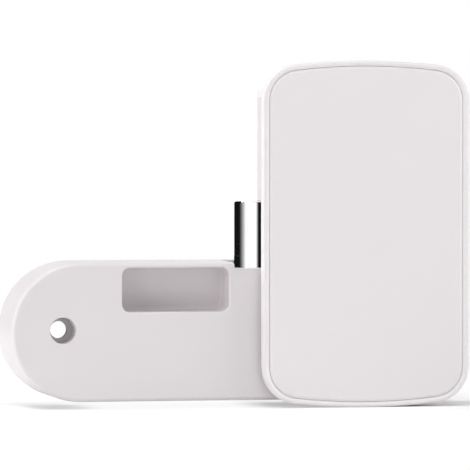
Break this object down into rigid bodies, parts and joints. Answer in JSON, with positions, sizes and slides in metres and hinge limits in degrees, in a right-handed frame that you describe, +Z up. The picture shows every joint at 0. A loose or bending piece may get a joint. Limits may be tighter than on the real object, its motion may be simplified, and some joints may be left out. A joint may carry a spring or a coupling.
{
  "type": "electronic cabinet lock",
  "caption": "White cabinet lock with a rounded upright body, a screw-down arm to the left and a motor-driven round bolt that rises beside the body.",
  "frame": {"origin": "on the flat rear mounting plane, at the centre of the body's 54 by 88 mm front", "axes": "+X right along the arm towards the body, +Y into the surface that the lock is screwed to, +Z up along the bolt"},
  "size_m": [0.1173, 0.0261, 0.088],
  "materials": {
    "housing_plastic": "fine satin white ABS",
    "cover_plastic": "fine satin white ABS",
    "rear_plastic": "matt white ABS",
    "bolt_chrome": "polished chrome plate",
    "bush_polymer": "acetal, black",
    "carriage_polymer": "acetal, natural",
    "gear_polymer": "acetal, natural",
    "steel": "zinc-plated steel",
    "motor_steel": "drawn steel can",
    "black_plastic": "black nylon",
    "nickel": "nickel-plated spring steel",
    "cell_jacket": "plain shrink sleeve",
    "board": "green solder mask",
    "led_lens": "clear epoxy",
    "red_wire": "PVC sleeve",
    "aluminium_can": "printed can, bare"
  },
  "bodies": {
    "housing": {"main_housing": "housing_plastic", "rear_cover": "rear_plastic", "rear_cover_screws": "steel", "bolt_bushing": "bush_polymer", "gear_axle": "steel", "motor_gearbox": "black_plastic", "motor_can": "motor_steel", "motor_end_cap": "black_plastic", "motor_holder": "nickel", "holder_screws": "steel", "cell_left": "cell_jacket", "cell_middle": "cell_jacket", "cell_right": "cell_jacket", "contact_plates": "nickel", "contact_springs": "nickel", "control_board": "board", "board_screws": "steel", "radio_module": "motor_steel", "buzzer": "black_plastic", "storage_capacitor": "aluminium_can", "position_sensor": "black_plastic", "status_led": "led_lens", "pairing_switch": "black_plastic", "motor_leads": "red_wire"},
    "bolt": {"locking_bolt": "bolt_chrome", "bolt_carriage": "carriage_polymer", "carriage_screw": "steel", "carriage_magnet": "steel"},
    "gear": {"compound_gear": "gear_polymer"},
    "motor_drive": {"motor_pinion": "gear_polymer", "motor_shaft": "steel"},
    "cover": {"battery_cover": "cover_plastic"},
    "button": {"pairing_button": "rear_plastic"}
  },
  "joints": [
    {"name": "bolt_slide", "type": "slide", "parent": "housing", "child": "bolt", "axis": [0, 0, 1], "range_m": [-0.0168, 0]},
    {"name": "gear_turn", "type": "hinge", "parent": "housing", "child": "gear", "pos_m": [-0.01375, -0.005, -0.0204], "axis": [0, 1, 0], "range_deg": [-229.68, 0.5]},
    {"name": "motor_turn", "type": "hinge", "parent": "housing", "child": "motor_drive", "pos_m": [-0.00571, -0.005, -0.02715], "axis": [0, 1, 0], "range_deg": [-0.5, 458.87]},
    {"name": "cover_lift", "type": "slide", "parent": "housing", "child": "cover", "axis": [0, -1, 0], "range_m": [0, 0.03]},
    {"name": "button_press", "type": "slide", "parent": "housing", "child": "button", "axis": [0, 1, 0], "range_m": [0, 0.0003], "stiffness_N_per_m": 400}
  ],
  "couplings": [
    {"joint": "gear_turn", "follows": "bolt_slide", "rad_per_m": 238.1},
    {"joint": "motor_turn", "follows": "bolt_slide", "rad_per_m": -476.19}
  ]
}
